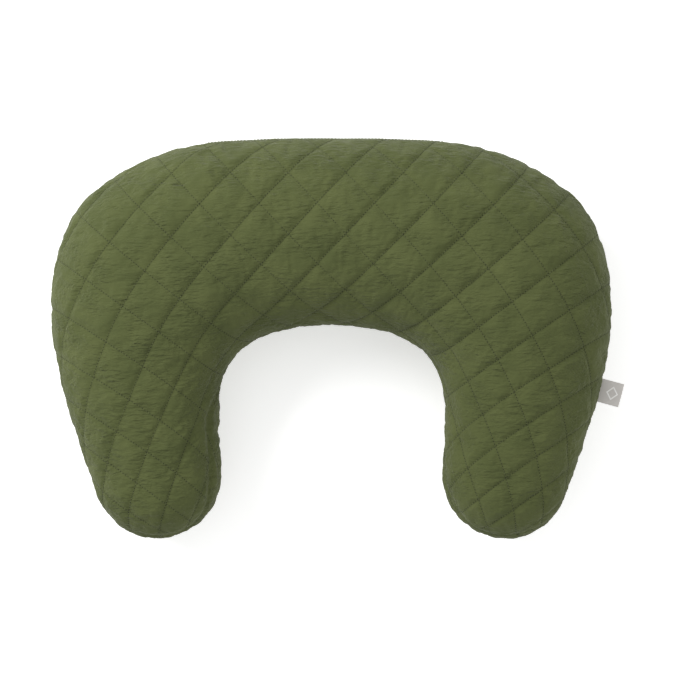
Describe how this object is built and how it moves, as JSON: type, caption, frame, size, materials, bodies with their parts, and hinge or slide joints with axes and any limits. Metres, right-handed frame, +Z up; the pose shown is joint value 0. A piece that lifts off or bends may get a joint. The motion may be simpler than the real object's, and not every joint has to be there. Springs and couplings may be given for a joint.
{
  "type": "nursing pillow",
  "caption": "C-shaped nursing pillow: a fibre-filled insert in a diamond-quilted, zipped fabric cover with a folded side label.",
  "frame": {"origin": "under the middle of the bounding box, on the surface that the pillow lies on", "axes": "+X across the pillow from arm to arm, -Y out of the waist opening, +Z up from the resting face"},
  "size_m": [0.6151, 0.4301, 0.1512],
  "materials": {
    "quilted_cover": "soft woven cotton, quilted, olive green",
    "wadding": "needled polyester wadding",
    "cover_backing": "plain woven lining",
    "insert_casing": "plain woven cotton",
    "fibre_filling": "lofted polyester fibre",
    "zip_tape": "woven polyester tape",
    "zip_coil": "nylon coil",
    "zip_metal": "satin enamel on die-cast zinc",
    "woven_label": "damask woven ribbon",
    "care_ribbon": "plain satin ribbon"
  },
  "bodies": {
    "cushion": {"cover_top_face": "quilted_cover", "cover_top_wadding": "wadding", "cover_top_backing": "cover_backing", "cover_underside_face": "quilted_cover", "cover_underside_wadding": "wadding", "cover_underside_backing": "cover_backing", "insert_casing_top": "insert_casing", "insert_casing_underside": "insert_casing", "fibre_filling": "fibre_filling", "zip_tape_upper": "zip_tape", "zip_tape_lower": "zip_tape", "zip_coil_upper": "zip_coil", "zip_coil_lower": "zip_coil", "zip_bottom_stop": "zip_metal", "zip_top_stops": "zip_metal", "zip_end_tabs": "zip_tape", "side_label": "woven_label", "care_label": "care_ribbon", "insert_care_label": "care_ribbon"},
    "zip_slider": {"zip_slider": "zip_metal"},
    "zip_pull": {"zip_pull": "zip_metal"}
  },
  "joints": [
    {"name": "zip_slide", "type": "slide", "parent": "cushion", "child": "zip_slider", "axis": [1, 0, 0], "range_m": [-0.216, 0]},
    {"name": "pull_swing", "type": "hinge", "parent": "zip_slider", "child": "zip_pull", "pos_m": [0.1002, 0.20685, 0.07], "axis": [0, 0, -1], "range_deg": [0, 172]}
  ]
}
